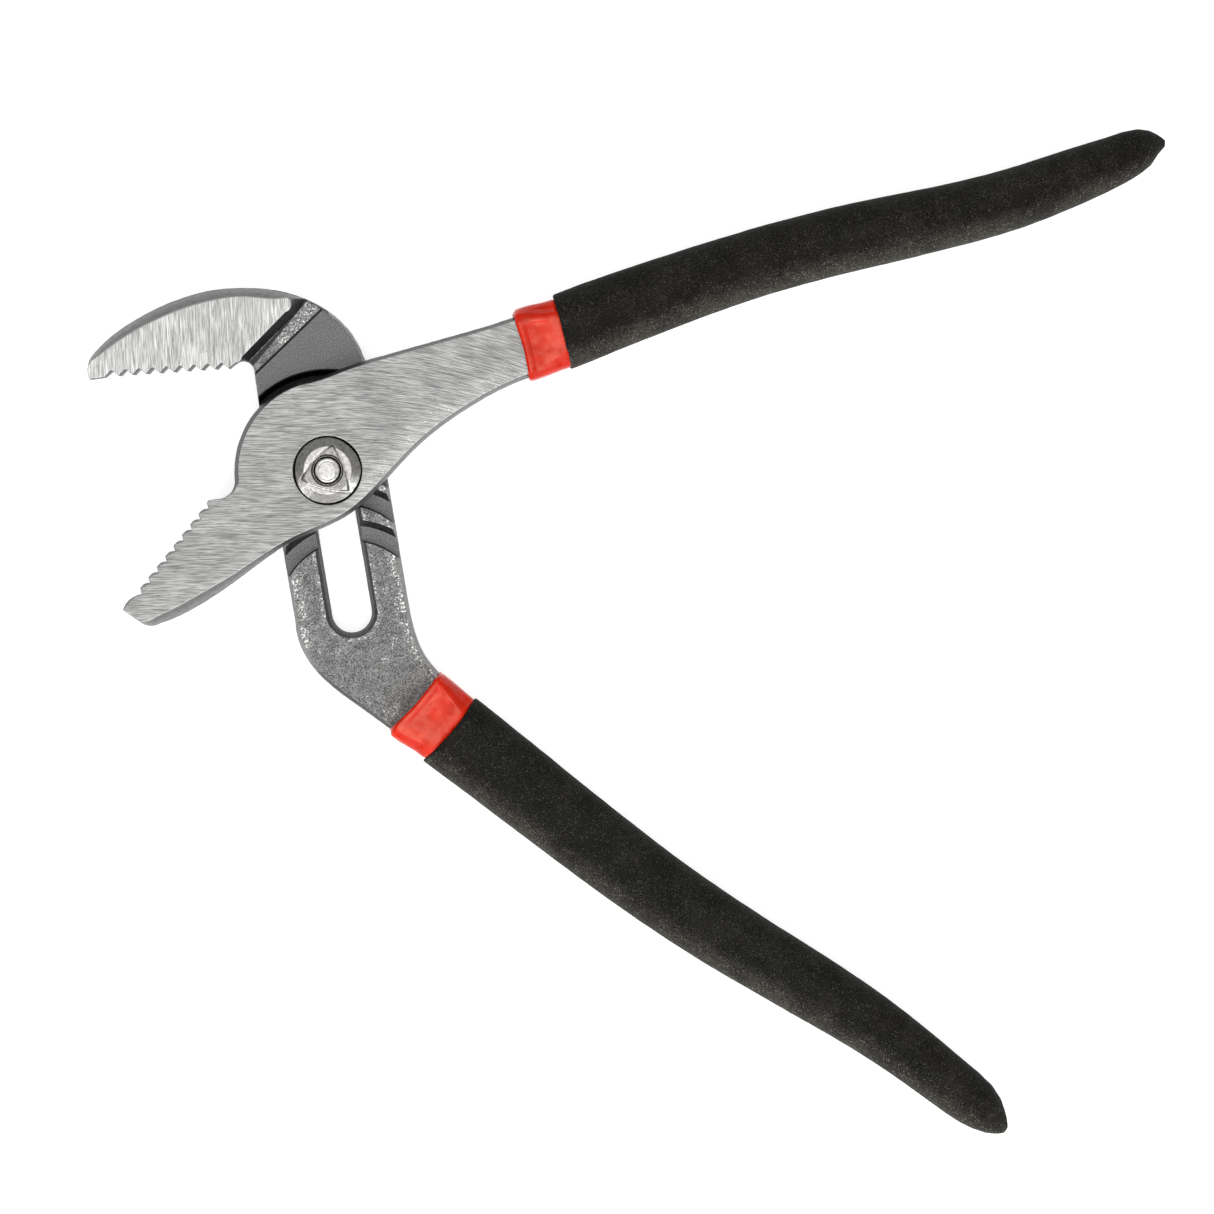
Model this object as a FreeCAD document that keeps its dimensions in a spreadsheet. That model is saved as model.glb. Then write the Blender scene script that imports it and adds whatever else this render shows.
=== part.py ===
"""Tongue and groove pliers, 305 mm long, opened wide with the bolt at the top of the adjusting slot.

Frame: the origin is on the axis of the pivot bolt, on the flat outer face of its head, which is the plane
the tool lies on. +Z points from the bolt head to the nut, +Y points along the adjusting slot towards the
upper jaw, and +X points towards the handles.
"""
import FreeCAD, Part
import Sketcher
import math
import os

Vector = FreeCAD.Vector
doc = FreeCAD.newDocument("TongueAndGroovePliers")


# ---------------------------------------------------------------------------------------------- sizes
SIZES = {
    # heights above the plane the tool lies on
    "WebBack": 2.2,
    "WebMiddle": 5.2,
    "Interface": 8.2,
    "TopFace": 14.2,
    "RunningGap": 0.05,
    # adjusting slot and grooves in the web of the rear lever
    "WebWidth": 29.5,
    "SlotWidth": 10.2,
    "SlotMouth": 13.1,
    "SlotFlareDepth": 3.8,
    "PositionPitch": 9.2,
    "PositionCount": 5,
    "GrooveInner": 18.5,
    "GrooveFoot": 22.2,
    "GrooveOuter": 23.9,
    "TopGrooveFoot": 24.7,
    "TopGrooveOuter": 26.1,
    "GrooveDepth": 2.2,
    "GrooveSweep": 120,
    "NeckRelief": 0.5,
    # tongue under the front lever
    "TongueInner": 18.8,
    "TongueOuter": 21.9,
    "TongueDepth": 2.0,
    "TongueStart": 145,
    "TongueEnd": 184,
    "JawHeelRadius": 24.5,
    # pivot bolt and locking nut
    "BoltDiameter": 10.0,
    "BoltFit": 0.1,
    "HeadDiameter": 17.0,
    "HeadChamfer": 0.9,
    "BoltEndDiameter": 6.4,
    "BoltEndTop": 16.2,
    "BoltEndChamfer": 0.6,
    "BoltShoulder": 12.6,
    "NutDiameter": 17.2,
    "NutSeat": 12.9,
    "NutRimTop": 14.9,
    "NutTriangleTop": 15.5,
    "NutCornerReach": 7.3,
    "NutSideReach": 4.9,
    "NutBore": 6.4,
    "CounterboreDiameter": 17.7,
    # teeth
    "UpperPitch": 3.52,
    "UpperToothDepth": 1.7,
    "LowerPitch": 3.45,
    "LowerToothDepth": 1.4,
    # tangs, sleeves and grips, all centred on the interface plane
    "TangThickness": 8.0,
    "GripThickness": 16.4,
    "SleeveThickness": 15.6,
    "GripWall": 2.0,
}
sheet = doc.addObject("Spreadsheet::Sheet", "Sizes")
for row_number, (alias, value) in enumerate(SIZES.items(), start=1):
    sheet.set("A%d" % row_number, alias)
    sheet.set("B%d" % row_number, str(value))
    sheet.setAlias("B%d" % row_number, alias)
doc.recompute()


def size(alias):
    return float(sheet.get(alias))


# ------------------------------------------------------------------------------------------ sketching
UPPER_RIM, LOWER_RIM, NO_RIM = 2, 3, -1
SMOOTH_JOIN = 0.17  # sine of the turn below which two runs count as one smooth line


def plane(body, role):
    return [feature for feature in body.Origin.OriginFeatures if feature.Role == role][0]


def new_body(label):
    body = doc.addObject("PartDesign::Body", label)
    body.Label = label
    return body


def new_sketch(body, name, role="XY_Plane", height=None):
    """A sketch on one of the body's own planes, raised to a height that may be an expression."""
    sketch = body.newObject("Sketcher::SketchObject", name)
    sketch.AttachmentSupport = [(plane(body, role), "")]
    sketch.MapMode = "FlatFace"
    if height is not None:
        sketch.setExpression("AttachmentOffset.Base.z", height)
    return sketch


def curve_of(run):
    """Two points make a line, three an arc and more a smooth curve."""
    points = [Vector(x, y, 0) for x, y in run]
    if len(points) == 2:
        return Part.LineSegment(points[0], points[1])
    if len(points) == 3:
        arc = Part.Arc(points[0], points[1], points[2]).toShape()
        return Part.ArcOfCircle(arc.Curve, arc.FirstParameter, arc.LastParameter)
    curve = Part.BSplineCurve()
    curve.interpolate(points)
    return curve


def draw(sketch, runs):
    for run in runs:
        sketch.addGeometry(curve_of(run), False)


def tangent_at(run, index):
    """Unit direction of travel of a run at one of its own points."""
    edge = curve_of(run).toShape()
    if index == 0:
        return edge.tangentAt(edge.FirstParameter)
    if index == len(run) - 1:
        return edge.tangentAt(edge.LastParameter)
    x, y = run[index]
    return edge.tangentAt(edge.Curve.parameter(Vector(x, y, 0)))


def inset_corner(before, rim_before, after, rim_after):
    """How far a corner moves when the runs before and after it move inwards by their rims."""
    first = Vector(-before.y, before.x, 0)
    second = Vector(-after.y, after.x, 0)
    turn = first.x * second.y - first.y * second.x
    if abs(turn) < SMOOTH_JOIN:
        return (first + second) * (0.25 * (rim_before + rim_after))
    return Vector((rim_before * second.y - rim_after * first.y) / turn,
                  (first.x * rim_after - second.x * rim_before) / turn, 0)


def inset_runs(runs, rims):
    """The closed outline moved inwards (to its left) by the rim width given for each point of each run."""
    result = [list(run) for run in runs]
    for number, run in enumerate(runs):
        for index in range(1, len(run) - 1):
            direction = tangent_at(run, index)
            x, y = run[index]
            rim = rims[number][index]
            result[number][index] = (x - direction.y * rim, y + direction.x * rim)
        following = (number + 1) % len(runs)
        shift = inset_corner(tangent_at(run, len(run) - 1), rims[number][-1],
                             tangent_at(runs[following], 0), rims[following][0])
        corner = (run[-1][0] + shift.x, run[-1][1] + shift.y)
        result[number][-1] = corner
        result[following][0] = corner
    return result


def with_rim(points, upper, lower):
    """Outline points (x, y) with the widths of the rims on their upper and lower sides."""
    return [(x, y, upper, lower) for x, y in points]


def straight_runs(points, upper, lower):
    rimmed = with_rim(points, upper, lower)
    return [[start, end] for start, end in zip(rimmed, rimmed[1:])]


def section(body, name, height, outline, rim):
    """A sketch of an outline at a height, set in by its upper or lower rims or drawn full size."""
    points = [[(point[0], point[1]) for point in run] for run in outline]
    if rim != NO_RIM:
        points = inset_runs(points, [[point[rim] for point in run] for run in outline])
    sketch = new_sketch(body, name, height=height)
    draw(sketch, points)
    return sketch


def ruled_loft(body, name, sketches):
    loft = body.newObject("PartDesign::AdditiveLoft", name)
    loft.Profile = sketches[0]
    loft.Sections = sketches[1:]
    loft.Ruled = True
    for sketch in sketches:
        sketch.Visibility = False
    return loft


def pocket_down(body, name, sketch, length):
    """A pocket of a sketch, cut down from its plane by a length that is an expression."""
    pocket = body.newObject("PartDesign::Pocket", name)
    pocket.Profile = sketch
    pocket.setExpression("Length", length)
    sketch.Visibility = False
    return pocket


def flat_pad(body, name, height, length, runs, downwards=False):
    """A straight pad of an outline, up or down from a height."""
    sketch = new_sketch(body, name + "_outline", height=height)
    draw(sketch, runs)
    pad = body.newObject("PartDesign::Pad", name)
    pad.Profile = sketch
    pad.setExpression("Length", length)
    pad.Reversed = downwards
    sketch.Visibility = False
    return pad


def polygon(points):
    return [[a, b] for a, b in zip(points, points[1:] + points[:1])]


def polar(radius, angle, centre=(0, 0)):
    turn = math.radians(angle)
    return (centre[0] + radius * math.cos(turn), centre[1] + radius * math.sin(turn))


def arc_run(radius, start, end):
    return [polar(radius, start), polar(radius, (start + end) / 2), polar(radius, end)]


# ------------------------------------------------------------------------------ rear lever outlines
# Each outline point is x, y, rim width on the upper side, rim width on the lower side. Outlines run
# anticlockwise, so that the metal is on the left.
HALF_WEB = size("WebWidth") / 2
SLOT_END = -size("PositionPitch") * (size("PositionCount") - 1)
UPPER_JAW_TIP = (-56.3, 33.0)
UPPER_TEETH_START = (-52.1, 32.9)
UPPER_TEETH_HEADING = -5.6
UPPER_TEETH = 9
TOOTH_SKEW = 0.45
THROAT_TOP = (-18.4, 31.0)
BAND_FOOT = (-15.6, 30.8)
BAND_END = (1.7, 44.3)

jaw_back = [(BAND_END[0], BAND_END[1], 1.67, 1.1), (-4.5, 47.4, 2.1, 1.1), (-14.5, 49.9, 2.4, 1.1),
            (-22.2, 50.5, 2.8, 1.1), (-30.1, 49.7, 2.9, 1.1), (-38.2, 47.7, 2.8, 1.1),
            (-46.5, 44.4, 2.4, 1.1), (-52.3, 41.0, 1.9, 1.0), (-54.8, 38.9, 1.2, 0.8)]
jaw_nose = [(-54.8, 38.9, 1.2, 0.8), (-56.0, 37.2, 0.5, 0.5), (-56.3, 35.2, 0.0, 0.3)]
jaw_tip = [(-56.3, 35.2, 0.0, 0.3), (UPPER_JAW_TIP[0], UPPER_JAW_TIP[1], 0.0, 0.0)]


def upper_teeth(skew):
    """Triangular teeth of the upper jaw; the skew moves the notches along the jaw."""
    fall = math.radians(UPPER_TEETH_HEADING)
    first = Vector(UPPER_TEETH_START[0], UPPER_TEETH_START[1], 0)
    along = Vector(math.cos(fall), math.sin(fall), 0)
    across = Vector(-along.y, along.x, 0)
    pitch = size("UpperPitch")
    points = [UPPER_JAW_TIP, UPPER_TEETH_START]
    for tooth in range(UPPER_TEETH):
        root = first + along * (pitch * (tooth + 0.5) + skew) + across * size("UpperToothDepth")
        last = tooth == UPPER_TEETH - 1
        tip = first + along * (pitch * (tooth + 1) + (0 if last else skew))
        points += [(root.x, root.y), (tip.x, tip.y)]
    return points


def without_upper_rim(run):
    return [(x, y, 0.0, lower) for x, y, _, lower in run]


def rear_outline(skew):
    """Outline of the rear lever below the interface plane, jaw, neck, web and the root of the handle."""
    teeth = upper_teeth(skew)
    runs = straight_runs(teeth + [THROAT_TOP], 0.0, 0.0)
    runs.append([(THROAT_TOP[0], THROAT_TOP[1], 0.0, 0.0), (-15.9, 30.9, 0.0, 0.3), (-14.5, 28.6, 0.3, 0.6)])
    runs.append([(-14.5, 28.6, 0.3, 0.6), (-HALF_WEB, 19.0, 0.3, 0.8)])
    runs.append([(-HALF_WEB, 19.0, 0.3, 0.8), (-HALF_WEB, SLOT_END, 1.0, 1.0)])
    outer_root = [(-HALF_WEB, SLOT_END), (-14.0, -44.7), (-11.6, -50.0), (-7.2, -55.8), (-1.2, -61.9)]
    inner_root = [(20.6, -57.0), (18.9, -54.7), (16.3, -49.6), (15.1, -43.8), (HALF_WEB, SLOT_END)]
    handle_end = (5.9, -69.2)
    runs.append(with_rim(outer_root, 1.0, 1.0))
    runs.append(with_rim([outer_root[-1], handle_end], 1.0, 1.0))
    runs.append(with_rim([handle_end, inner_root[0]], 0.0, 0.0))
    runs.append(with_rim(inner_root, 1.0, 1.0))
    runs.append([(HALF_WEB, SLOT_END, 1.0, 1.0), (HALF_WEB, 18.0, 0.8, 1.0)])
    runs.append([(HALF_WEB, 18.0, 0.8, 1.0), (14.1, 26.2, 0.8, 1.0), (11.5, 34.2, 0.8, 1.0),
                 (7.2, 40.0, 0.7, 1.0), (BAND_END[0], BAND_END[1], 0.0, 1.1)])
    runs += [without_upper_rim(run) for run in (jaw_back, jaw_nose, jaw_tip)]
    return runs


def upper_jaw_outline(skew):
    """Outline of the jaw above the interface plane, bounded by the sloping step down to the neck."""
    runs = straight_runs(upper_teeth(skew) + [THROAT_TOP], 0.0, 0.0)
    step_bend = (-2.8, 40.2)
    runs.append([(THROAT_TOP[0], THROAT_TOP[1], 0.0, 0.0), (-17.0, 31.25, 0.3, 0.0),
                 (BAND_FOOT[0], BAND_FOOT[1], 0.6, 0.0)])
    runs.append(with_rim([BAND_FOOT, step_bend], 1.8, 0.0))
    runs.append([(step_bend[0], step_bend[1], 1.8, 0.0), (-0.44, 42.13, 2.4, 0.0),
                 (BAND_END[0], BAND_END[1], 4.27, 0.0)])
    return runs + [jaw_back, jaw_nose, jaw_tip]


# ------------------------------------------------------------------------------------------ handles
# Each station is x, y and width across the grip; a smooth curve through them carries the sections.
FRONT_COLLAR = [(53.9, 22.9, 18.2, 5.3), (64.7, 25.1, 19.2, 4.5)]
FRONT_GRIP = [(64.7, 25.1, 19.7), (83.1, 28.8, 19.0), (104.6, 32.6, 18.0), (125.8, 35.4, 17.4),
              (146.8, 37.0, 17.2), (167.7, 38.1, 16.4), (188.9, 40.4, 15.5), (205.0, 43.6, 14.0),
              (213.1, 45.4, 12.6), (219.6, 47.2, 10.1), (223.3, 47.5, 5.3), (225.3, 47.3, 1.8)]
REAR_COLLAR = [(12.3, -61.8, 19.9, -50.7), (19.6, -70.3, 20.4, -49.4)]
REAR_GRIP = [(19.6, -70.3, 21.2), (37.9, -90.1, 20.3), (58.7, -112.5, 19.3), (80.8, -133.9, 18.3),
             (104.1, -154.0, 16.8), (120.9, -169.8, 15.0), (131.3, -181.1, 13.9), (137.5, -188.0, 12.3),
             (140.3, -191.7, 8.9), (141.9, -193.6, 5.8), (143.4, -195.2, 1.8)]


HANDLE_SECTIONS = 27
TIP_CROWDING = 1.5
CORE_SECTIONS = 19
TANG_SECTIONS = slice(0, 16, 3)
FRONT_TANG_ROOT = (55.0, 23.1, 0, 5.0)
REAR_TANG_ROOT = (13.1, -62.7, 0, -48.0)
FRONT_TANG_HALF_WIDTHS = [6.0, 5.8, 5.4, 5.0, 4.7, 4.3, 3.8]
REAR_TANG_HALF_WIDTHS = [6.6, 6.4, 5.9, 5.5, 5.1, 4.4, 3.7]
GRIP_ROUNDNESS = [0.85]
COLLAR_ROUNDNESS = [0.4, 0.6]
TALLEST_SECTION = 0.97


def spread(stations, first_heading, count):
    """Sections (x, y, width, heading) on the smooth curve through a few stations, closer towards the tip."""
    curve = Part.BSplineCurve()
    curve.interpolate([Vector(x, y, width) for x, y, width in stations])
    length = curve.length()
    sections = []
    for number in range(count):
        from_tip = (1 - number / (count - 1)) ** TIP_CROWDING
        parameter = curve.parameterAtDistance(length * (1 - from_tip), curve.FirstParameter)
        point = curve.value(parameter)
        direction = curve.tangent(parameter)[0]
        heading = math.degrees(math.atan2(direction.y, direction.x)) if sections else first_heading
        sections.append((point.x, point.y, point.z, heading))
    return sections


def handle_section(body, name, station, thickness, shrink, roundness):
    """A rounded rectangle across the handle at a station."""
    x, y, width, heading = station
    sketch = new_sketch(body, name)
    angle = math.radians(heading)
    lateral = Vector(-math.sin(angle), math.cos(angle), 0)
    forward = Vector(math.cos(angle), math.sin(angle), 0)
    rotation = FreeCAD.Rotation(lateral, Vector(0, 0, 1), forward, "ZXY")
    sketch.AttachmentOffset = FreeCAD.Placement(Vector(x, y, size("Interface")), rotation)
    half_width = width / 2 - shrink
    half_height = min(thickness / 2 - shrink, half_width * TALLEST_SECTION)
    radius = half_height * roundness
    flat_x, flat_y = half_width - radius, half_height - radius
    runs = []
    for quarter, (corner_x, corner_y) in enumerate([(flat_x, flat_y), (-flat_x, flat_y),
                                                    (-flat_x, -flat_y), (flat_x, -flat_y)]):
        start = 90 * quarter
        runs.append([polar(radius, start + turn, (corner_x, corner_y)) for turn in (0, 45, 90)])
    sides = [[runs[quarter][-1], runs[(quarter + 1) % 4][0]] for quarter in range(4)]
    draw(sketch, [run for pair in zip(runs, sides) for run in pair])
    return sketch


def handle_loft(body, name, stations, thickness, roundness, shrink=0.0):
    """A loft through rounded sections along the handle; the last roundness repeats."""
    sketches = [handle_section(body, "%s_section_%d" % (name, number), station, thickness, shrink,
                               roundness[min(number, len(roundness) - 1)])
                for number, station in enumerate(stations)]
    return ruled_loft(body, name, sketches)


def tang_outline(path, half_widths):
    """The flat bar inside a handle: a curved strip that narrows along the handle's centre line."""
    left, right = [], []
    for (x, y, _, heading), half in zip(path, half_widths):
        angle = math.radians(heading)
        left.append((x - math.sin(angle) * half, y + math.cos(angle) * half))
        right.append((x + math.sin(angle) * half, y - math.cos(angle) * half))
    return [right, [right[-1], left[-1]], left[::-1], [left[0], right[0]]]


# ------------------------------------------------------------------------------------- rear lever
rear = new_body("rear_lever")
web_side = rear_outline(TOOTH_SKEW)
ruled_loft(rear, "rear_forging", [section(rear, "rear_back", "Sizes.WebBack", web_side, LOWER_RIM),
                                  section(rear, "rear_middle", "Sizes.WebMiddle", web_side, NO_RIM),
                                  section(rear, "rear_interface", "Sizes.Interface", web_side, UPPER_RIM)])
jaw_foot = section(rear, "upper_jaw_foot", "Sizes.Interface", upper_jaw_outline(TOOTH_SKEW), NO_RIM)
jaw_face = section(rear, "upper_jaw_face", "Sizes.TopFace", upper_jaw_outline(0.0), UPPER_RIM)
ruled_loft(rear, "upper_jaw", [jaw_foot, jaw_face])
rear_sections = spread(REAR_GRIP, REAR_COLLAR[1][3], HANDLE_SECTIONS)
flat_pad(rear, "rear_tang", "Sizes.Interface - Sizes.TangThickness / 2", "Sizes.TangThickness",
         tang_outline([REAR_TANG_ROOT] + rear_sections[TANG_SECTIONS], REAR_TANG_HALF_WIDTHS))
doc.recompute()

# The neck is cut a little below the interface plane, from the groove's arc to a line beside the jaw's step.
relief_arc = arc_run((size("GrooveInner") + size("GrooveFoot")) / 2, 20, 160)
relief_corners = [relief_arc[-1], (-30.0, 16.7), (9.5, 44.0), (30.0, 30.0), relief_arc[0]]
relief = new_sketch(rear, "neck_relief_outline", height="Sizes.Interface")
draw(relief, [relief_arc] + [[start, end] for start, end in zip(relief_corners, relief_corners[1:])])
pocket_down(rear, "neck_relief", relief, "Sizes.NeckRelief")


def slot_sketch(name, half_width):
    """A round-ended slot along the web, from the pivot to the last position."""
    sketch = new_sketch(rear, name, height="Sizes.Interface")
    draw(sketch, [[(-half_width, 0), (-half_width, SLOT_END)],
                  [(-half_width, SLOT_END), (0, SLOT_END - half_width), (half_width, SLOT_END)],
                  [(half_width, SLOT_END), (half_width, 0)],
                  [(half_width, 0), (0, half_width), (-half_width, 0)]])
    return sketch


pocket_down(rear, "adjusting_slot", slot_sketch("slot_outline", size("SlotWidth") / 2),
            "Sizes.Interface - Sizes.WebBack")
slot_mouth = pocket_down(rear, "slot_mouth", slot_sketch("slot_mouth_outline", size("SlotMouth") / 2),
                         "Sizes.SlotFlareDepth")
slot_mouth.setExpression("TaperAngle",
                         "-atan((Sizes.SlotMouth - Sizes.SlotWidth) / 2 / Sizes.SlotFlareDepth)")
doc.recompute()


GROOVE_OVERCUT = 0.4
GROOVE_BACK_LEAN = 0.2


def groove_profile(body, name, foot, outer):
    """Section of an arc-shaped groove, upright on its inner side and sloping on its outer side."""
    surface = size("Interface")
    floor = surface - size("GrooveDepth")
    above = surface + GROOVE_OVERCUT
    rise = (outer - foot) / size("GrooveDepth") * GROOVE_OVERCUT
    corners = [(size("GrooveInner"), floor), (foot, floor),
               (outer + rise, above), (size("GrooveInner") - GROOVE_BACK_LEAN, above)]
    sketch = new_sketch(body, name, role="YZ_Plane")
    draw(sketch, polygon(corners))
    sketch.Visibility = False
    return sketch


def arc_groove(body, name, foot, outer):
    groove = body.newObject("PartDesign::Groove", name)
    groove.Profile = groove_profile(body, name + "_profile", foot, outer)
    groove.ReferenceAxis = (groove.Profile[0], ["V_Axis"])
    groove.setExpression("Angle", "Sizes.GrooveSweep")
    groove.Midplane = True
    return groove


arc_groove(rear, "top_groove", size("TopGrooveFoot"), size("TopGrooveOuter"))
position_groove = arc_groove(rear, "position_groove", size("GrooveFoot"), size("GrooveOuter"))
position_grooves = rear.newObject("PartDesign::LinearPattern", "position_grooves")
position_grooves.Originals = [position_groove]
position_grooves.Direction = (plane(rear, "Y_Axis"), [""])
position_grooves.Reversed = True
position_grooves.setExpression("Length", "Sizes.PositionPitch * (Sizes.PositionCount - 1)")
position_grooves.setExpression("Occurrences", "Sizes.PositionCount")
rear.Tip = position_grooves
doc.recompute()


# ------------------------------------------------------------------------------------- front lever
LOWER_TEETH_START = (-31.75, -3.1)
LOWER_TEETH_HEADING = 222.3
LOWER_TEETH = 9
TOOTH_HOOK = 0.95
BACK_LEAN = 0.15
BACK_BULGE = 0.75
FACE_BULGE = 0.15
JAW_NOSE = (-57.7, -26.5)
JAW_TOE = (-53.4, -30.7)
THROAT_BEND = (-28.2, -2.6)
THROAT_LEDGE = (-31.2, -2.45)
BULGE_RADIUS = 24.0
BULGE_START, BULGE_END = 100, 177

jaw_belly = [(-48.9, -31.5, 1.9, 1.0), (-43.5, -30.35, 2.3, 1.1), (-35.8, -27.6, 2.3, 1.1),
             (-27.6, -23.8, 1.6, 1.1), (-19.9, -19.8, 1.1, 1.1), (-12.6, -16.6, 0.8, 1.1)]


def lower_teeth(bulge):
    """Hooked teeth of the lower jaw, from the throat to the nose; the bulge rounds their backs."""
    first = Vector(LOWER_TEETH_START[0], LOWER_TEETH_START[1], 0)
    heading = math.radians(LOWER_TEETH_HEADING)
    along = Vector(math.cos(heading), math.sin(heading), 0)
    inward = Vector(-along.y, along.x, 0)
    runs = []
    for tooth in range(LOWER_TEETH):
        crest = first + along * (size("LowerPitch") * tooth)
        root = crest + along * TOOTH_HOOK + inward * size("LowerToothDepth")
        runs.append([(crest.x, crest.y), (root.x, root.y)])
        if tooth < LOWER_TEETH - 1:
            following = crest + along * size("LowerPitch")
            middle = (root + following) * 0.5 - inward * bulge + along * BACK_LEAN
            runs.append([(root.x, root.y), (middle.x, middle.y), (following.x, following.y)])
    return runs


def front_jaw_runs(bulge):
    """The lower jaw from the first tooth round the nose to the belly, as x, y, upper rim, lower rim."""
    teeth = lower_teeth(bulge)
    last_root = teeth[-1][-1]
    runs = [with_rim(run, 0.0, 0.0) for run in teeth]
    runs.append([(last_root[0], last_root[1], 0.0, 0.0), (-55.3, -24.0, 0.35, 0.3),
                 (JAW_NOSE[0], JAW_NOSE[1], 0.3, 0.3)])
    runs.append(with_rim([JAW_NOSE, JAW_TOE], 0.3, 0.3))
    runs.append([(JAW_TOE[0], JAW_TOE[1], 0.3, 0.3), (-51.6, -31.65, 1.3, 0.7), jaw_belly[0]])
    runs.append(jaw_belly)
    return runs


def front_outline(bulge):
    """Outline of the front lever above the interface plane."""
    lower_edge = [(-12.6, -16.6), (-4.5, -14.5), (1.5, -12.8), (6.8, -10.2), (12.4, -6.3), (18.4, -1.6),
                  (24.3, 2.7), (30.1, 6.1), (38.4, 9.95), (46.0, 12.8), (54.8, 14.9)]
    top_edge = [(53.3, 30.9), (42.0, 29.3), (31.2, 28.15), (20.6, 27.0), (13.0, 26.1), (5.0, 24.6)]
    handle_end = [(58.3, 15.9), (56.8, 31.4)]
    throat = polar(BULGE_RADIUS, BULGE_END)
    runs = front_jaw_runs(bulge)
    first_crest = LOWER_TEETH_START
    runs.append(with_rim(lower_edge, 0.9, 0.0))
    runs.append(with_rim([lower_edge[-1], handle_end[0]], 1.0, 0.0))
    runs.append(with_rim(handle_end, 0.0, 0.0))
    runs.append(with_rim([handle_end[1], top_edge[0]], 1.0, 0.0))
    runs.append(with_rim(top_edge, 1.0, 0.0))
    runs.append(with_rim([top_edge[-1], (0.8, 23.9), polar(BULGE_RADIUS, BULGE_START)], 1.0, 0.0))
    runs.append(with_rim(arc_run(BULGE_RADIUS, BULGE_START, BULGE_END), 1.1, 0.0))
    runs.append([(throat[0], throat[1], 1.1, 0.0), (-25.4, -1.35, 0.4, 0.0),
                 (THROAT_BEND[0], THROAT_BEND[1], 0.0, 0.0)])
    return runs + straight_runs([THROAT_BEND, THROAT_LEDGE, first_crest], 0.0, 0.0)


def heavy_jaw_outline(bulge):
    """Outline of the lower jaw below the interface plane, closed inside the round heel."""
    inner = [(-12.6, -16.6), (-16.0, -4.0), (-24.6, -0.6)]
    runs = front_jaw_runs(bulge) + straight_runs(inner, 0.0, 0.0)
    runs.append(with_rim([inner[-1], (-25.9, -1.75), THROAT_BEND], 0.0, 0.0))
    return runs + straight_runs([THROAT_BEND, THROAT_LEDGE, LOWER_TEETH_START], 0.0, 0.0)


front = new_body("front_lever")
UNDERSIDE = "Sizes.Interface + Sizes.RunningGap"
heavy_jaw = heavy_jaw_outline(BACK_BULGE)
ruled_loft(front, "heavy_jaw", [section(front, "heavy_jaw_back", "Sizes.WebBack", heavy_jaw, LOWER_RIM),
                                section(front, "heavy_jaw_middle", "Sizes.WebMiddle", heavy_jaw, NO_RIM),
                                section(front, "heavy_jaw_top", UNDERSIDE, heavy_jaw, NO_RIM)])
heel = new_sketch(front, "jaw_heel_outline", height=UNDERSIDE)
heel.addGeometry(Part.Circle(Vector(0, 0, 0), Vector(0, 0, 1), size("JawHeelRadius")), False)
pocket_down(front, "jaw_heel", heel, "Sizes.Interface")
underside = section(front, "front_underside", UNDERSIDE, front_outline(BACK_BULGE), NO_RIM)
ground_face = section(front, "front_face", "Sizes.TopFace", front_outline(FACE_BULGE), UPPER_RIM)
ruled_loft(front, "front_forging", [underside, ground_face])

outer_arc = arc_run(size("TongueOuter"), size("TongueStart"), size("TongueEnd"))
inner_arc = arc_run(size("TongueInner"), size("TongueEnd"), size("TongueStart"))
tongue_runs = [outer_arc, [outer_arc[-1], inner_arc[0]], inner_arc, [inner_arc[-1], outer_arc[0]]]
flat_pad(front, "tongue", UNDERSIDE, "Sizes.TongueDepth", tongue_runs, downwards=True)
front_sections = spread(FRONT_GRIP, FRONT_COLLAR[1][3], HANDLE_SECTIONS)
flat_pad(front, "front_tang", "Sizes.Interface - Sizes.TangThickness / 2", "Sizes.TangThickness",
         tang_outline([FRONT_TANG_ROOT] + front_sections[TANG_SECTIONS], FRONT_TANG_HALF_WIDTHS))
doc.recompute()


def round_pocket(body, name, height, diameter, length):
    """A round hole on the pivot's axis, cut down from a height."""
    sketch = new_sketch(body, name + "_outline", height=height)
    circle = sketch.addGeometry(Part.Circle(Vector(0, 0, 0), Vector(0, 0, 1), 5.0), False)
    constraint = sketch.addConstraint(Sketcher.Constraint("Diameter", circle, 5.0))
    sketch.setExpression("Constraints[%d]" % constraint, diameter)
    sketch.addConstraint(Sketcher.Constraint("Coincident", circle, 3, -1, 1))
    return pocket_down(body, name, sketch, length)


round_pocket(front, "bolt_bore", "Sizes.TopFace", "Sizes.BoltDiameter + Sizes.BoltFit",
             "Sizes.TopFace - Sizes.Interface + 1")
round_pocket(front, "nut_counterbore", "Sizes.TopFace", "Sizes.CounterboreDiameter",
             "Sizes.TopFace - Sizes.NutSeat + Sizes.RunningGap")
doc.recompute()


# ---------------------------------------------------------------------------------- bolt and nut
def turned(body, name, corners):
    """A solid turned about the bolt axis from a half section of radius and height."""
    sketch = new_sketch(body, name + "_profile", role="XZ_Plane")
    draw(sketch, polygon(corners))
    revolution = body.newObject("PartDesign::Revolution", name)
    revolution.Profile = sketch
    revolution.ReferenceAxis = (sketch, ["V_Axis"])
    revolution.Angle = 360
    sketch.Visibility = False
    return revolution


bolt = new_body("pivot_bolt")
head_radius = size("HeadDiameter") / 2
head_top = size("WebBack") - size("RunningGap")
shank_radius = size("BoltDiameter") / 2
end_radius = size("BoltEndDiameter") / 2
end_chamfer = size("BoltEndChamfer")
turned(bolt, "bolt_turning",
       [(0, 0), (head_radius - size("HeadChamfer"), 0), (head_radius, size("HeadChamfer")),
        (head_radius, head_top), (shank_radius, head_top),
        (shank_radius, size("BoltShoulder")), (end_radius, size("BoltShoulder")),
        (end_radius, size("BoltEndTop") - end_chamfer),
        (end_radius - end_chamfer, size("BoltEndTop")), (0, size("BoltEndTop"))])

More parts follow.
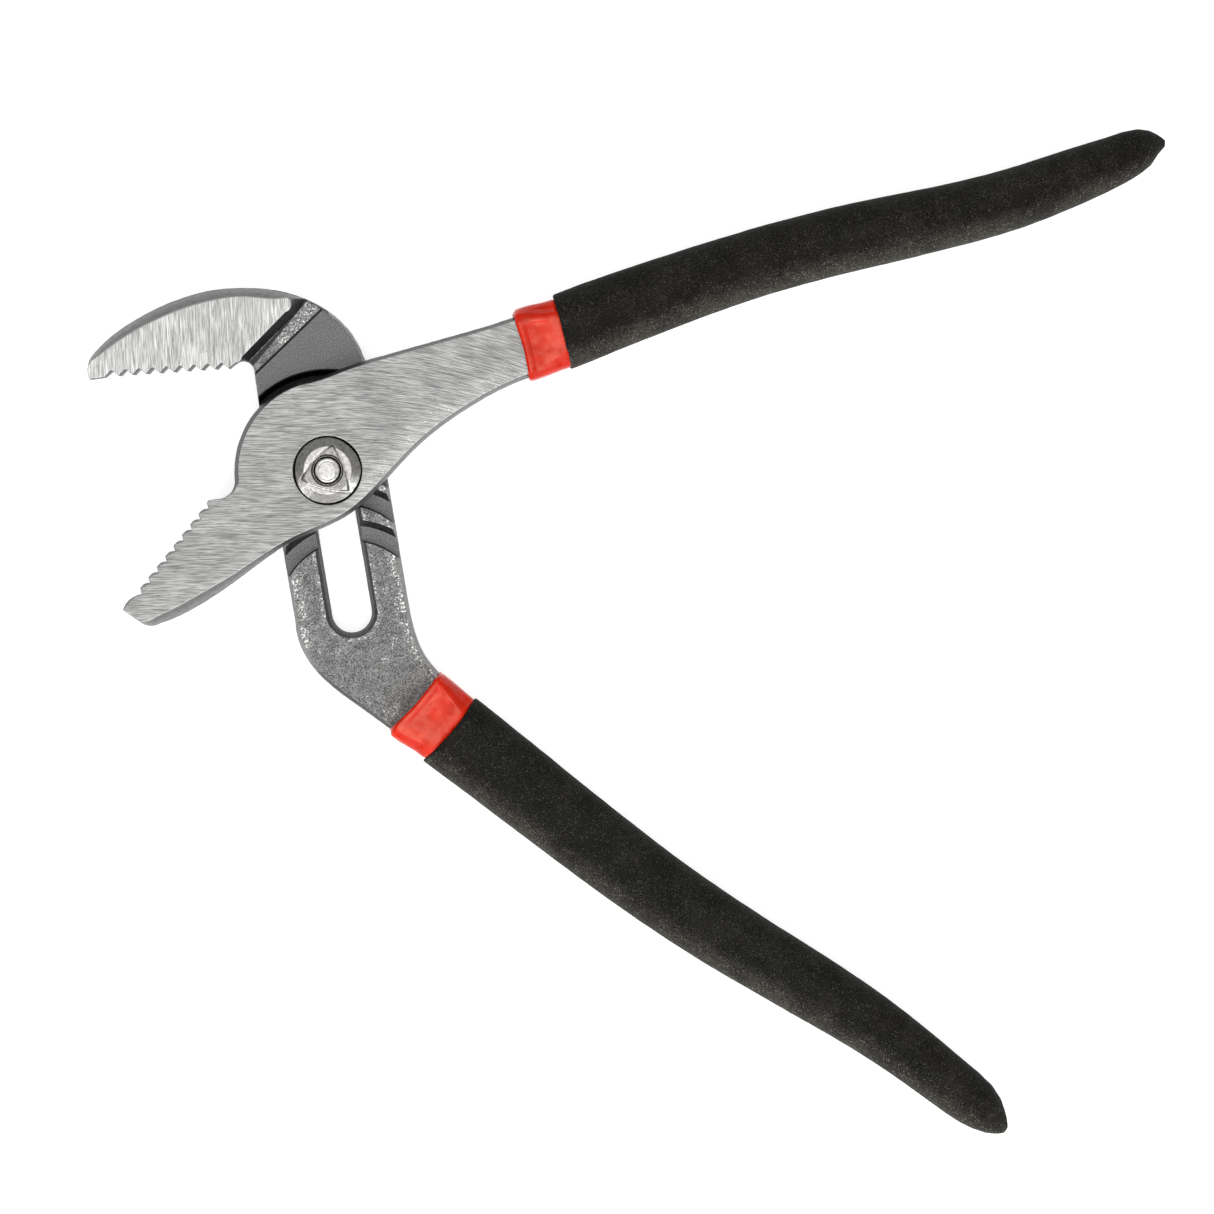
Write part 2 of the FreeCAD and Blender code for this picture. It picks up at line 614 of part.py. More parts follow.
NUT_CHAMFER = 0.5
NUT_RIM_WIDTH = 2.0
NUT_RIM_RISE = 0.15
NUT_CORNER_ANGLES = (70.5, 187.5, 305.5)
NUT_SIDE_ANGLES = (129.0, 246.5, 8.0)

nut = new_body("pivot_nut")
nut_radius = size("NutDiameter") / 2
nut_bore_radius = size("NutBore") / 2
turned(nut, "nut_ring",
       [(nut_bore_radius, size("NutSeat")), (nut_radius, size("NutSeat")),
        (nut_radius, size("TopFace") - NUT_CHAMFER),
        (nut_radius - NUT_CHAMFER, size("TopFace") + NUT_RIM_RISE),
        (nut_radius - NUT_RIM_WIDTH, size("NutRimTop")), (nut_bore_radius, size("NutRimTop"))])
boss_corners = [polar(size("NutCornerReach"), angle) for angle in NUT_CORNER_ANGLES]
boss_middles = [polar(size("NutSideReach"), angle) for angle in NUT_SIDE_ANGLES]
boss_sides = [list(side) for side in zip(boss_corners, boss_middles, boss_corners[1:] + boss_corners[:1])]
flat_pad(nut, "nut_boss", "Sizes.NutSeat", "Sizes.NutTriangleTop - Sizes.NutSeat", boss_sides)
round_pocket(nut, "nut_bore", "Sizes.NutTriangleTop", "Sizes.NutBore", "Sizes.NutTriangleTop - Sizes.NutSeat")
doc.recompute()


# ------------------------------------------------------------------------------- sleeves and grips
def cut_away(name, solid, tool):
    """A node that is a solid less another one."""
    cut = doc.addObject("Part::Cut", name)
    cut.Label = name
    cut.Base = solid
    cut.Tool = tool
    return cut


def handle_covers(side, lever, collar, stations):
    """The dipped inner sleeve and the outer grip over a lever's tang, each hollow inside."""
    sleeve_solid = new_body(side + "_sleeve_solid")
    handle_loft(sleeve_solid, side + "_collar", collar, size("SleeveThickness"), COLLAR_ROUNDNESS)
    handle_loft(sleeve_solid, side + "_core", stations[:CORE_SECTIONS], size("GripThickness"),
                GRIP_ROUNDNESS, size("GripWall"))
    grip_solid = new_body(side + "_grip_solid")
    handle_loft(grip_solid, side + "_grip_loft", stations, size("GripThickness"), GRIP_ROUNDNESS)
    doc.recompute()
    return [cut_away(side + "_inner_sleeve", sleeve_solid, lever),
            cut_away(side + "_grip", grip_solid, sleeve_solid)]


covers = handle_covers("front", front, FRONT_COLLAR, front_sections)
covers += handle_covers("rear", rear, REAR_COLLAR, rear_sections)

# --------------------------------------------------------------------------------- check and write
nodes = [rear, front, bolt, nut] + covers
doc.recompute()
for item in doc.Objects:
    if "Invalid" in item.State or "Error" in item.State:
        raise RuntimeError("%s did not build" % item.Name)
os.makedirs("parts", exist_ok=True)
for node in nodes:
    shape = node.Shape
    if shape.isNull() or not shape.isValid() or not shape.Solids:
        raise RuntimeError("%s has no valid solid" % node.Label)
    shape.exportStep("parts/%s.step" % node.Label)
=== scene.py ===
"""Looks of the tongue and groove pliers: forged levers, zinc bolt and nut, dipped sleeves and foam grips.

Places and sizes are in millimetres in the row frame: the origin is on the pivot's axis on the plane the
tool lies on, +Z points from the bolt head to the nut, and +X points towards the handles.
"""

import math

import bpy
import numpy as np
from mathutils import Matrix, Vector, noise


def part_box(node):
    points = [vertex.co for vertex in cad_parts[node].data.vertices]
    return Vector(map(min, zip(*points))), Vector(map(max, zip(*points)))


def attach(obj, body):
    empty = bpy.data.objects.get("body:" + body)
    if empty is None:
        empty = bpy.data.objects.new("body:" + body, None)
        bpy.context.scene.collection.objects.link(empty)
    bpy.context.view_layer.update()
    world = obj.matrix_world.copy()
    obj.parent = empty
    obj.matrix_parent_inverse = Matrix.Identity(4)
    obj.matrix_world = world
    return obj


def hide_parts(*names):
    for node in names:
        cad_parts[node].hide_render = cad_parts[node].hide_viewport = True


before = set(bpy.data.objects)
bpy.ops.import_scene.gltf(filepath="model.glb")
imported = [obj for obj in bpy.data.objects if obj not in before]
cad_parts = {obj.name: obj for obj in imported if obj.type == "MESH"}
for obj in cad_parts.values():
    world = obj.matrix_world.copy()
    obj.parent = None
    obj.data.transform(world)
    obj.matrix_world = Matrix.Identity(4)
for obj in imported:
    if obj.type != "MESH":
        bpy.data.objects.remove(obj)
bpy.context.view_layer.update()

MM = 0.001

# ------------------------------------------------------------------------------------ driving sizes
# The picture
VIEW_CENTRE = (64.7, -46.2)      # the point the camera looks down on
VIEW_WIDTH = 310.8               # width of the picture at the height of the levers' faces
VIEW_HEIGHT = 8.0
VIEW_TURN = math.radians(-9.5)   # the picture's right, measured from +X
CAMERA_DISTANCE = 3000.0
SENSOR = 36.0

# The levers
INTERFACE = 8.2                  # plane between the two levers
GROUND_FACE = 14.2               # ground faces of the upper jaw and of the front lever
SLOT_END = -36.8                 # last place of the bolt in the adjusting slot
SLOT_MOUTH = 6.55                # half the width of the flared slot at the web's surface
SLOT_FLARE = 3.8                 # how deep the flare goes
WEB_SIDE = 14.2                  # half the width of the web that the arc grooves cross
GROOVES_END = 26.5               # the web's grooves lie below this place along Y
TOP_GROOVE = 24.2                # middle radius of the groove that stays open beside the jaw's neck
NECK_FOOT = ((-0.653, 0.757), 31.7)       # normal and offset of the line where the jaw rises from its neck
NECK_LINE = ((-0.5686, 0.8227), 30.8)     # normal and offset of the line along the neck's step, where a shadow is painted
WEB_BEND = -37.0                 # below this place along Y the web's right edge bends towards the handle
BEND_RATE = 0.0146               # and moves away by this much times the distance squared
SHINE = ((72.1, -72.6, 0.0), 89.2)        # centre and radius of the front handle's lower edge, brightened by wear and by a painted highlight

# Mesh fineness
LEVER_VOXEL = 0.16
LEVER_KEEP = 0.13  # share of the lever's faces kept
COVER_VOXEL = 0.35

# The nut and the bolt
NUT_RADIUS = 8.65
NUT_BORE = 3.7
NUT_SEAT = 12.95
NUT_RIM = 1.05                   # height of the nut's rim above its seat
NUT_CORNERS = [(6.7, 69.0), (7.1, 190.0), (7.7, 307.0)]   # radius, angle of the raised triangle
NUT_SHEEN = [(3.6, 0.3), (5.55, 0.35)]                     # angle, reach of the painted highlights on its ring of painted shade
HEAD_TOP = 2.08
SHANK_RADIUS = 4.98
SHANK_TOP = 12.6
BOLT_END_RADIUS = 3.2

# The sleeves and grips: where the mouth is, where the handle heads there in degrees from +X, the sleeve's
# width, its round shoulder, how far in its crease lies and how it leans, how much one mouth corner is
# thickened (below 0: the right one), how much both sides narrow towards the grip and how much the lower
# corner sinks there, and how far the grip's mouth is bowed
SLEEVES = {
    "front": dict(start=(53.9, 22.9), heading=5.3, width=18.2, shoulder=1.8, crease=3.0, lean=0.1,
                  thickened=0.4, narrowing=(0.8, 0.3), sinking=0.5),
    "rear": dict(start=(12.3, -61.8), heading=-50.7, width=19.9, shoulder=4.5, crease=2.2, lean=0.22,
                 thickened=-0.7, narrowing=(0.2, 0.4), sinking=0.0)}
GRIPS = {
    "front": dict(start=(64.7, 25.1), heading=4.5, bow=0.3),
    "rear": dict(start=(19.6, -70.3), heading=-49.4, bow=1.0)}


# ------------------------------------------------------------------------------------- mesh helpers
def points_of(mesh):
    """The mesh's points in millimetres."""
    flat = np.empty(len(mesh.vertices) * 3)
    mesh.vertices.foreach_get("co", flat)
    return flat.reshape(-1, 3) / MM


def normals_of(mesh):
    flat = np.empty(len(mesh.vertices) * 3, np.float32)
    mesh.vertex_normals.foreach_get("vector", flat)
    return flat.reshape(-1, 3)


def move_points(mesh, points):
    mesh.vertices.foreach_set("co", (points * MM).ravel())
    mesh.update()


def ramp(values, start, end):
    """A smooth step from 0 at start to 1 at end."""
    t = np.clip((values - start) / (end - start), 0, 1)
    return t * t * (3 - 2 * t)


def bump(values, middle, reach):
    """A bell of height 1 around a middle."""
    return np.exp(-((values - middle) / reach) ** 2)


def lumps(points, size, seed):
    """Smooth noise from -1 to 1 with lumps of a size in millimetres."""
    shift = Vector((seed * 17.3, seed * 5.1, seed * 9.7))
    return np.array([noise.noise(Vector(point) / size + shift) for point in points])


def new_piece(name, mesh, body, material, node):
    """Puts a finished mesh in the scene as a piece that rides on a body and stands for a CAD node."""
    piece = bpy.data.objects.new(name, mesh)
    bpy.context.scene.collection.objects.link(piece)
    mesh.materials.clear()
    mesh.materials.append(material)
    mesh.polygons.foreach_set("use_smooth", [True] * len(mesh.polygons))
    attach(piece, body)
    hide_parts(node)
    return piece


def baked(mesh, kind, **settings):
    """The mesh after one modifier."""
    carrier = bpy.data.objects.new("carrier", mesh)
    bpy.context.scene.collection.objects.link(carrier)
    modifier = carrier.modifiers.new(kind, kind)
    for setting, value in settings.items():
        setattr(modifier, setting, value)
    graph = bpy.context.evaluated_depsgraph_get()
    result = bpy.data.meshes.new_from_object(carrier.evaluated_get(graph))
    bpy.data.objects.remove(carrier)
    return result


def softened(node, voxel, rounds):
    """An even, fine mesh of a CAD node, with its edges broken as by a file or a tumbler."""
    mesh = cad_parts[node].data.copy()
    mesh = baked(mesh, "REMESH", mode="VOXEL", voxel_size=voxel * MM)
    return baked(mesh, "SMOOTH", factor=0.5, iterations=rounds)


def around(sides):
    """Even angles around a circle."""
    return np.linspace(0, math.tau, sides, endpoint=False)


def polar_mesh(name, radii, heights, closed):
    """A mesh of rings around the pivot's axis. Closed joins the last ring to the first; otherwise both ends
    are capped."""
    rings, sides = radii.shape
    angles = around(sides)
    points = np.stack([radii * np.cos(angles), radii * np.sin(angles), heights], -1).reshape(-1, 3)
    faces = []
    for ring in range(rings if closed else rings - 1):
        here, there = ring * sides, (ring + 1) % rings * sides
        for side in range(sides):
            after = (side + 1) % sides
            faces.append((here + side, here + after, there + after, there + side))
    if not closed:
        faces.append(tuple(range(sides))[::-1])
        faces.append(tuple(range((rings - 1) * sides, rings * sides)))
    mesh = bpy.data.meshes.new(name)
    mesh.from_pydata((points * MM).tolist(), [], faces)
    return mesh


# --------------------------------------------------------------------------------- material helpers
class Field:
    """A number that varies over a surface. Its arithmetic builds the nodes of the material."""

    def __init__(self, graph, socket):
        self.graph = graph
        self.socket = socket

    def __add__(self, other):
        return self.graph.math("ADD", self, other)

    def __radd__(self, other):
        return self.graph.math("ADD", other, self)

    def __sub__(self, other):
        return self.graph.math("SUBTRACT", self, other)

    def __rsub__(self, other):
        return self.graph.math("SUBTRACT", other, self)

    def __mul__(self, other):
        return self.graph.math("MULTIPLY", self, other)

    def __abs__(self):
        return self.graph.math("ABSOLUTE", self)

    def __or__(self, other):
        """The larger of the two, which joins two masks."""
        return self.graph.math("MAXIMUM", self, other)

    def step(self, start, end, low=0.0, high=1.0):
        """A smooth step from low at start to high at end; start may be above end."""
        smooth = {"interpolation_type": "SMOOTHSTEP"}
        made = self.graph.node("MapRange", (self, start, end, low, high), smooth)
        return Field(self.graph, made.outputs[0])

    def mix(self, low, high):
        """A blend of two numbers, with this field as the share of the second."""
        return (1.0 - self) * low + self * high


class Graph:
    """Builds the nodes of one procedural material, with positions in millimetres."""

    def __init__(self, name, **sockets):
        self.material = bpy.data.materials.new(name)
        self.material.use_nodes = True
        self.tree = self.material.node_tree
        self.shader = self.tree.nodes["Principled BSDF"]
        for socket, value in sockets.items():
            self.shader.inputs[socket.replace("_", " ")].default_value = value
        coordinates = self.tree.nodes.new("ShaderNodeTexCoord")
        self.normal = coordinates.outputs["Normal"]
        self.place = self.vector("SCALE", coordinates.outputs["Object"], Scale=1 / MM)
        self.x, self.y, self.z = self.axes(self.place)
        self.nx, self.ny, self.nz = self.axes(self.normal)

    def feed(self, socket, value):
        """Links or sets a socket."""
        if isinstance(value, Field):
            value = value.socket
        if isinstance(value, bpy.types.NodeSocket):
            self.tree.links.new(value, socket)
        else:
            socket.default_value = value

    def node(self, kind, ordered=(), settings=None, **named):
        made = self.tree.nodes.new("ShaderNode" + kind)
        for setting, value in (settings or {}).items():
            setattr(made, setting, value)
        for index, value in enumerate(ordered):
            self.feed(made.inputs[index], value)
        for socket, value in named.items():
            self.feed(made.inputs[socket.replace("_", " ")], value)
        return made

    def math(self, operation, *values):
        return Field(self, self.node("Math", values, {"operation": operation}).outputs[0])

    def vector(self, operation, *values, **named):
        return self.node("VectorMath", values, {"operation": operation}, **named).outputs[0]

    def axes(self, vector):
        return [Field(self, output) for output in list(self.node("SeparateXYZ", (vector,)).outputs)[:3]]

    def length(self, first, second):
        """The length of a vector with two parts."""
        return self.math("SQRT", first * first + second * second)

    def beyond(self, line):
        """How far the surface lies beyond a line, given as its normal and its offset from the pivot."""
        (along_x, along_y), offset = line
        return self.x * along_x + self.y * along_y - offset

    def facing(self, direction):
        """How far the surface faces a direction, from -1 to 1."""
        made = self.node("VectorMath", (self.normal, direction), {"operation": "DOT_PRODUCT"})
        return Field(self, made.outputs["Value"])

    def grain(self, size, detail=2.0, roughness=0.5, place=None):
        """Noise around 0.5 with a size in millimetres."""
        place = self.place if place is None else place
        made = self.node("TexNoise", (), None, Vector=place, Scale=1 / size, Detail=detail,
                         Roughness=roughness)
        return Field(self, made.outputs[0])

    def spots(self, size, reach):
        """1 in the middle of scattered round spots, 0 outside their reach."""
        cells = self.node("TexVoronoi", (), None, Vector=self.place, Scale=1 / size)
        return Field(self, cells.outputs["Distance"]).step(reach, reach * 0.5)

    def brushed(self, turn, length, width, curl=0.0):
        """Noise drawn out along a direction in the plane of the tool, which curls away past the pivot."""
        turned = self.node("Mapping", (self.place,), None, Rotation=(0, 0, -turn)).outputs[0]
        along, across, depth = self.axes(turned)
        past = self.math("MAXIMUM", along, 0.0)
        across = across + past * past * curl
        place = self.node("CombineXYZ", (along, across, depth)).outputs[0]
        place = self.vector("MULTIPLY", place, (1 / length, 1 / width, 1 / width))
        return self.grain(1.0, 2.0, 0.6, place)

    def tinted(self, tone, tint):
        """A colour of one tint and a varying tone."""
        return self.vector("SCALE", tint, Scale=tone)

    def relief(self, height, distance):
        """Bump over the whole surface, with its distance in millimetres."""
        made = self.node("Bump", (), None, Height=height, Distance=distance * MM)
        self.feed(self.shader.inputs["Normal"], made.outputs[0])

    def finish(self, colour, roughness):
        self.feed(self.shader.inputs["Base Color"], colour)
        self.feed(self.shader.inputs["Roughness"], roughness)
        return self.material


# -------------------------------------------------------------------------------------------- steel
STEEL_TINT = (1.0, 0.995, 0.98)
TOP_GROOVE_SHADE = 0.015                     # tone of the shade painted in the groove that the front lever shades
NECK_STEP_SHADOW = 0.03                   # tone of the shadow painted along the neck's step
FLARE_EDGE_SHADE = 0.02                # tone of the shade painted along the flare's deep edge
WORN_AND_HIGHLIT = 0.5                       # tone of edges that are rubbed bright; along the ground face this is also a painted highlight
FORGED = 0.155                   # tone of the blasted web


def ground_tone(graph, turn, base, curl):
    """Tone and scratch height of a face ground on a belt, with strokes along a direction."""
    fine = graph.brushed(turn, 4.0, 0.18, curl)
    hair = graph.brushed(turn + 0.05, 4.5, 0.14, curl)
    scratches = hair.step(0.40, 0.60, -0.36, 0.36) + hair.step(0.62, 0.78, 0.0, 0.8)
    light = fine.step(0.36, 0.64, 0.88, 1.10) + scratches
    tone = light * graph.grain(11.0).step(0.3, 0.7, 0.92 * base, 1.08 * base)
    pits = graph.spots(1.9, 0.12) * graph.grain(6.0).step(0.5, 0.6)
    return pits.mix(tone, base * 0.4), fine + hair


def polished_and_highlit(graph, ground, centre, radius):
    """The ground tone, brighter and with glints outside a circle: the handle's edge brightened by wear and by
    a painted highlight.
    """
    flat_place = graph.vector("MULTIPLY", graph.place, (1, 1, 0))
    made = graph.node("VectorMath", (flat_place, centre), {"operation": "DISTANCE"})
    band = Field(graph, made.outputs["Value"]).step(radius + 8, radius + 2)
    glints = graph.spots(0.8, 0.3) * graph.grain(2.6).step(0.45, 0.6)
    return ground * (1.0 + band * (0.25 + glints * 0.9))


def forged_tone(graph, base, near_edge):
    """Tone and height of a shot-blasted forging, with bright flecks that gather near its edges."""
    fine = graph.grain(0.26, 2.0, 0.7)
    broad = graph.grain(2.6)
    tone = fine.step(0.37, 0.63, 0.35 * base, 1.7 * base) * broad.step(0.3, 0.7, 0.85, 1.12)
    tone = tone * near_edge.step(0.0, 1.0, 1.0, 1.2)
    gathered = near_edge | graph.grain(3.2).step(0.56, 0.66, 0.0, 0.5)
    flecks = graph.grain(0.55, 3.0, 0.6).step(0.54, 0.61) * (gathered * broad.step(0.38, 0.52))
    return flecks.mix(tone, 5.6 * base), fine


def rim_tone(graph, above_web, dark_facing):
    """Tone of the steep sides, with painted shade: darker upwards, and darker still where they face the
    shaded side.
    """
    shaded = above_web * graph.facing(dark_facing).step(0.1, 0.7)
    tone = graph.grain(1.2, 3.0).step(0.3, 0.7, 0.17, 0.23)
    tone = tone * graph.z.step(INTERFACE + 1.0, GROUND_FACE - 1.6, 1.0, 0.62)
    return tone * shaded.step(0.0, 1.0, 1.0, 0.6)


def near_edges(graph, from_slot):
    """1 near the web's outer edges and a little less around the slot: there the flecks gather."""
    below = graph.math("MAXIMUM", WEB_BEND - graph.y, 0.0)
    right = (graph.x - below * below * BEND_RATE).step(10.0, 13.3)
    outer = (right | graph.x.step(-10.0, -13.3)) * graph.y.step(32.0, 26.0, 0.1, 1.0)
    return outer | from_slot.step(SLOT_MOUTH + 1.6, SLOT_MOUTH + 0.5, 0.0, 0.7)


def bright_edges(graph, up, above_web):
    """Broken edges that are rubbed bright: along the ground face, where the bright band is also a painted
    highlight, and in flecks along the web.
    """
    band = graph.nz.step(0.3, 0.6) * (1.0 - up)
    beside_face = band * graph.z.step(GROUND_FACE - 0.9, GROUND_FACE - 0.4)
    beside_web = band * (1.0 - above_web) * graph.z.step(INTERFACE - 0.9, INTERFACE - 0.5)
    return beside_face * 0.5 | beside_web * graph.grain(0.6).step(0.48, 0.6)


def slot_flare(graph, from_slot):
    """Where the slot is flared, by place and height."""
    around_slot = from_slot.step(SLOT_MOUTH + 0.3, SLOT_MOUTH + 0.1)
    return around_slot * graph.z.step(INTERFACE - SLOT_FLARE - 0.3, INTERFACE - SLOT_FLARE)


def groove_walls(graph, above_web):
    """The walls of the arc grooves across the web."""
    in_groove = graph.z.step(INTERFACE - 2.6, INTERFACE - 1.9) * (1.0 - above_web)
    in_web = abs(graph.x).step(WEB_SIDE + 0.4, WEB_SIDE) * graph.y.step(GROOVES_END + 0.5, GROOVES_END)
    return in_groove * abs(graph.ny).step(0.35, 0.6) * in_web


def top_groove(graph):
    """The groove beside the jaw's neck, down to its floor, where the front lever's shade is painted."""
    ring = abs(graph.length(graph.x, graph.y) - TOP_GROOVE).step(2.1, 1.8)
    depth = graph.z.step(INTERFACE + 0.2, INTERFACE + 0.1) * graph.z.step(INTERFACE - 3.0, INTERFACE - 2.5)
    return graph.y.step(14.0, 15.0) * ring * depth


def lever_steel(name, stroke_turn, face_base, dark_facing, dark_tone, curl=0.0, rear=False):
    """Steel of a lever: ground face, forged web, milled grooves, and painted shade on its steep walls."""
    graph = Graph(name, Metallic=1.0)
    z = graph.z
    up = graph.nz.step(0.80, 0.95)
    above_web = z.step(INTERFACE + 0.1, INTERFACE + 0.4)
    face = up * z.step(GROUND_FACE - 0.5, GROUND_FACE - 0.15)
    past_end = graph.math("MINIMUM", graph.y - SLOT_END, 0.0)
    from_slot = graph.length(graph.x, past_end)

    forged, pebbles = forged_tone(graph, FORGED, near_edges(graph, from_slot))
    ground, strokes = ground_tone(graph, stroke_turn, face_base, curl)
    if not rear:
        ground = polished_and_highlit(graph, ground, *SHINE)
    tone = up.mix(rim_tone(graph, above_web, dark_facing), forged)
    tone = face.mix(tone, ground)
    if rear:
        milled = up * z.step(INTERFACE - 0.25, INTERFACE - 0.4)
        tone = milled.mix(tone, graph.grain(0.32).step(0.35, 0.65, 0.105, 0.175))
    # Edges rubbed bright, with a painted highlight along the ground face.
    tone = bright_edges(graph, up, above_web).mix(tone, WORN_AND_HIGHLIT)

    # The flare gets a darker tone, and painted shade along its deep edge where it drops into the slot.
    in_flare = slot_flare(graph, from_slot) * (1.0 - (above_web | up))
    tone = in_flare.mix(tone, graph.grain(0.5, 3.0).step(0.35, 0.65, 0.06, 0.135))
    tone = (in_flare * z.step(INTERFACE - 1.9, INTERFACE - 1.5)).mix(tone, FLARE_EDGE_SHADE)

    # Painted shade: steep walls above the web that face the shaded side, and on the rear lever the walls of
    # the arc grooves.
    dark = above_web * graph.nz.step(0.08, 0.17) * graph.facing(dark_facing).step(0.25, 0.5)
    if rear:
        dark = dark | groove_walls(graph, above_web)
    wall_shade = graph.grain(0.7, 3.0).step(0.35, 0.65, 0.7 * dark_tone, 1.3 * dark_tone)
    tone = (dark * (1.0 - up)).mix(tone, wall_shade)
    # Painted shade in the top groove, under the front lever's edge.
    tone = top_groove(graph).mix(tone, TOP_GROOVE_SHADE)
    if rear:
        low = z.step(INTERFACE + 0.5, INTERFACE + 0.2)
        # Painted shadow on the web along the foot of the jaw.
        foot = graph.beyond(NECK_FOOT).step(0.0, 0.25) * low * up
        # Painted shadow line along the neck's step.
        line = abs(graph.beyond(NECK_LINE)).step(0.42, 0.22) * low * z.step(INTERFACE - 1.5, INTERFACE - 1.0)
        tone = foot.mix(tone, dark_tone)
        tone = line.mix(tone, NECK_STEP_SHADOW)

    graph.relief(face.mix(pebbles * 2.0, strokes * 0.3), 0.05)
    return graph.finish(graph.tinted(tone, STEEL_TINT), face.mix(0.5, strokes.step(0.8, 1.2, 0.42, 0.32)))


rear_steel = lever_steel("rear_lever_steel", VIEW_TURN + math.radians(90), face_base=0.42,
                         dark_facing=(0.62, -0.78, 0.0), dark_tone=0.045, rear=True)
front_steel = lever_steel("front_lever_steel", VIEW_TURN - 0.03, face_base=0.275,
                          dark_facing=(-0.93, 0.36, 0.0), dark_tone=0.05, curl=0.0035)


# ---------------------------------------------------------------------------------- other materials
def zinc(name, base, roughness):
    """Bright zinc plate with fine press marks, darker where the mesh's painted shade says so."""
    graph = Graph(name, Metallic=1.0)
    marks = graph.grain(0.8, 4.0, 0.6)
    painted_shade = Field(graph, graph.node("Attribute", (), {"attribute_name": "painted_shade"}).outputs["Fac"])
    tone = marks.step(0.3, 0.7, 0.75 * base, 1.2 * base) * painted_shade.step(0.0, 1.0, 1.0, 0.24)
    graph.relief(marks, 0.08)
    return graph.finish(graph.tinted(tone, (1.0, 0.985, 0.95)),
                        marks.step(0.3, 0.7, roughness * 0.8, roughness * 1.3))


def vinyl():
    """Glossy red vinyl with the shallow waves of a dipped coat, paler in patches where it lies flat as a
    painted highlight.
    """
    graph = Graph("red_vinyl", Specular_IOR_Level=0.16)
    flat = abs(graph.nz).step(0.92, 0.988)
    highlight_clouds = graph.grain(3.6, 3.0).step(0.34, 0.6, 0.25, 1.0)
    depth = graph.grain(5.0).step(0.3, 0.7, 0.88, 1.08)
    # Painted light: the flat tops take a paler red in patches as a painted highlight, and the rounded sides a
    # deeper red as painted shade.
    colour = graph.node("Mix", (), {"data_type": "RGBA"})
    graph.feed(colour.inputs["Factor"], flat * highlight_clouds)
    graph.feed(colour.inputs[6], (0.47, 0.012, 0.0008, 1))
    graph.feed(colour.inputs[7], (0.545, 0.068, 0.041, 1))
    graph.relief(graph.grain(2.6, 3.0), 0.3)
    return graph.finish(graph.vector("SCALE", colour.outputs[2], Scale=depth),
                        graph.grain(1.5).step(0.3, 0.7, 0.14, 0.28))


def foam():
    """Black foam with a skin of fine cells and light specks, greyer on the side towards the light as a
    painted highlight.
    """
    graph = Graph("black_foam", Specular_IOR_Level=0.07, Sheen_Weight=0.04, Sheen_Roughness=0.4)
    cells = graph.grain(0.34, 2.0, 0.65)
    specks = graph.spots(0.55, 0.32) * graph.grain(1.6).step(0.4, 0.62)
    tone = cells.step(0.38, 0.66, 0.4, 2.9) * graph.grain(8.0, 3.0).step(0.3, 0.7, 0.7, 1.3)
    # The side that faces the key light is painted greyer, as a painted highlight.
    tone = specks.mix(tone, 9.0) * graph.facing((-0.16, -0.98, 0.0)).step(0.0, 0.95, 1.0, 3.3)
    graph.relief(cells, 0.25)
    return graph.finish(graph.tinted(tone, (0.0066, 0.0063, 0.0053)), cells.step(0.3, 0.7, 0.7, 0.95))


# ------------------------------------------------------------------------------------------- levers
def lever(node, body, material):
    """A lever as a fine mesh with broken edges and the slight unevenness of a forging."""
    mesh = softened(node, LEVER_VOXEL, 2)
    points, normals = points_of(mesh), normals_of(mesh)
    ground = ramp(points[:, 2], GROUND_FACE - 1.5, GROUND_FACE - 0.7)
    facing_mate = ramp(np.abs(normals[:, 2]), 0.8, 0.95) * ramp(-np.abs(points[:, 2] - INTERFACE), -0.3, -0.1)
    clear_of_nut = ramp(np.hypot(points[:, 0], points[:, 1]), 9.2, 9.8)
    rough = (1 - ground) * (1 - 0.6 * facing_mate) * clear_of_nut
    uneven = 0.05 * lumps(points, 2.2, 1) + 0.03 * lumps(points, 0.8, 2)
    points += normals * (rough * np.minimum(uneven, 0.02))[:, None]
    move_points(mesh, points)
    if LEVER_KEEP < 1:
        mesh = baked(mesh, "DECIMATE", ratio=LEVER_KEEP)
    new_piece(node.replace("lever", "lever_forging"), mesh, body, material, node)


lever("rear_lever", "rear_half", rear_steel)
lever("front_lever", "front_half", front_steel)


# ------------------------------------------------------------------------------------- nut and bolt
def triangle_depth(x, y):
    """How deep a point is inside the nut's raised triangle, whose sides bulge a little."""
    corners = [(radius * math.cos(math.radians(angle)), radius * math.sin(math.radians(angle)))
               for radius, angle in NUT_CORNERS]
    depth = np.full(np.shape(x), math.inf)
    for (ax, ay), (bx, by) in zip(corners, corners[1:] + corners[:1]):
        length = math.hypot(bx - ax, by - ay)
        along = ((x - ax) * (bx - ax) + (y - ay) * (by - ay)) / length ** 2
        across = ((bx - ax) * (y - ay) - (by - ay) * (x - ax)) / length
        bulge = 0.75 * (1 - (2 * along - 1) ** 2)
        depth = np.minimum(depth, across + bulge)
    return depth


